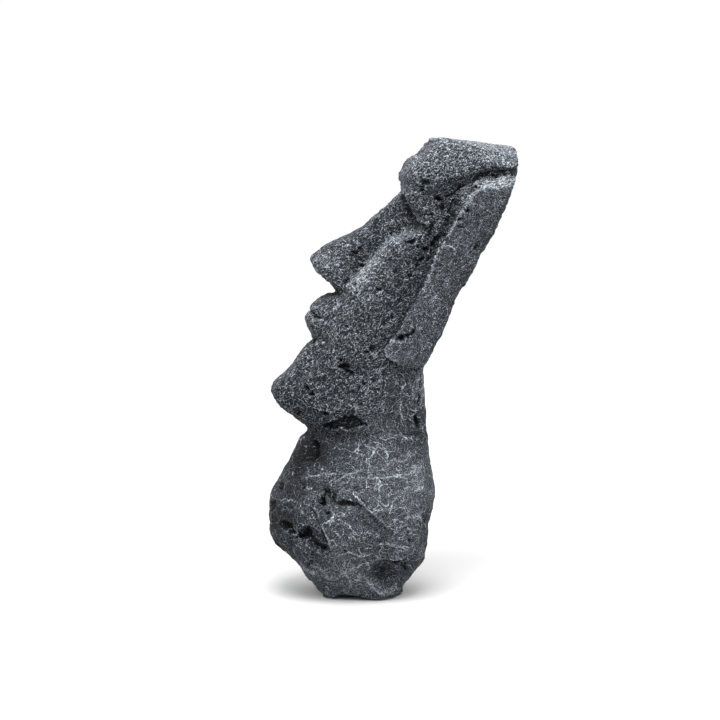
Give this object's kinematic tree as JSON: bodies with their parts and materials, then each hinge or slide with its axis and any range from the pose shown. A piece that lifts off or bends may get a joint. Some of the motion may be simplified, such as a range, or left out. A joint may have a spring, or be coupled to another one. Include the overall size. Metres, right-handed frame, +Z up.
{
  "type": "aquarium cave ornament",
  "caption": "Leaning carved-stone-style head on a rough rock, cast hollow in dark grey resin, with a fish cave in the rock and rubber pads underneath.",
  "frame": {"origin": "on the floor, under the middle of the bounding box", "axes": "+Z up, the face looks along -Y and the head leans back towards +Y, +X is the figure's left and the cave mouth is on its right (-X)"},
  "size_m": [0.0798, 0.1316, 0.24],
  "materials": {
    "cast_resin": "matte",
    "epoxy_bed": "matte",
    "stainless_pin": "satin",
    "ballast_mortar": "matte",
    "sole_plastic": "matte",
    "stainless_screw": "satin",
    "pad_rubber": "matte"
  },
  "bodies": {
    "root": {"head_shell": "cast_resin", "rock_base_shell": "cast_resin", "neck_bedding_ring": "epoxy_bed", "neck_dowel_front": "stainless_pin", "neck_dowel_rear_left": "stainless_pin", "neck_dowel_rear_right": "stainless_pin", "ballast_block": "ballast_mortar", "sole_plate": "sole_plastic", "sole_screw_1": "stainless_screw", "sole_screw_2": "stainless_screw", "sole_screw_3": "stainless_screw", "sole_screw_4": "stainless_screw", "foot_pad_1": "pad_rubber", "foot_pad_2": "pad_rubber", "foot_pad_3": "pad_rubber", "foot_pad_4": "pad_rubber"}
  },
  "joints": []
}
